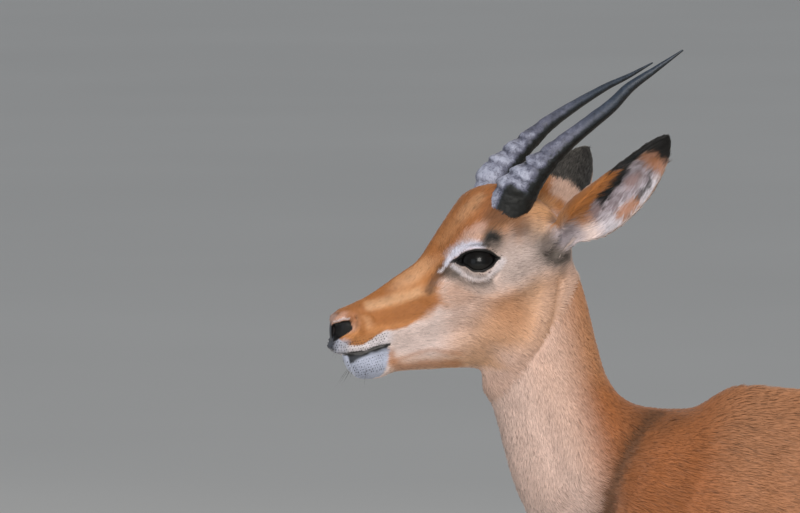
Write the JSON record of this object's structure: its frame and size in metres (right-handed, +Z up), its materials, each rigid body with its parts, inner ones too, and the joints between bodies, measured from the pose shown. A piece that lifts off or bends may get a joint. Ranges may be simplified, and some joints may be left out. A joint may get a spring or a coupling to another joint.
{
  "type": "young impala ram, life-size still model",
  "caption": "Life-size still model of a young impala ram standing square with raised head, ringed horns, cupped ears, slim legs and cloven hooves flat on the floor.",
  "frame": {"origin": "on the floor below the middle of the animal's bounding box", "axes": "+Z up; the animal faces -X; its left side is at -Y and its right side at +Y"},
  "size_m": [1.1661, 0.2534, 1.191],
  "materials": {
    "coat_red_brown": "short flat hair, satin",
    "coat_fawn": "short flat hair, satin",
    "coat_face": "very short flat hair, satin",
    "coat_white": "short soft hair, matt",
    "horn": "ringed keratin, worn to a low sheen at the tips",
    "hoof": "black keratin, low sheen",
    "eye": "wet gloss"
  },
  "bodies": {
    "root": {"head": "coat_face", "neck": "coat_fawn", "forequarters": "coat_red_brown", "barrel": "coat_red_brown", "hindquarters": "coat_red_brown", "tail": "coat_white", "left_ear": "coat_face", "right_ear": "coat_face", "left_eye": "eye", "right_eye": "eye", "left_horn": "horn", "right_horn": "horn", "left_fore_leg_upper": "coat_fawn", "left_fore_leg_lower": "coat_fawn", "right_fore_leg_upper": "coat_fawn", "right_fore_leg_lower": "coat_fawn", "left_hind_leg_upper": "coat_fawn", "left_hind_leg_lower": "coat_fawn", "right_hind_leg_upper": "coat_fawn", "right_hind_leg_lower": "coat_fawn", "left_fore_claw_outer": "hoof", "left_fore_claw_inner": "hoof", "right_fore_claw_outer": "hoof", "right_fore_claw_inner": "hoof", "left_hind_claw_outer": "hoof", "left_hind_claw_inner": "hoof", "right_hind_claw_outer": "hoof", "right_hind_claw_inner": "hoof"}
  },
  "joints": []
}
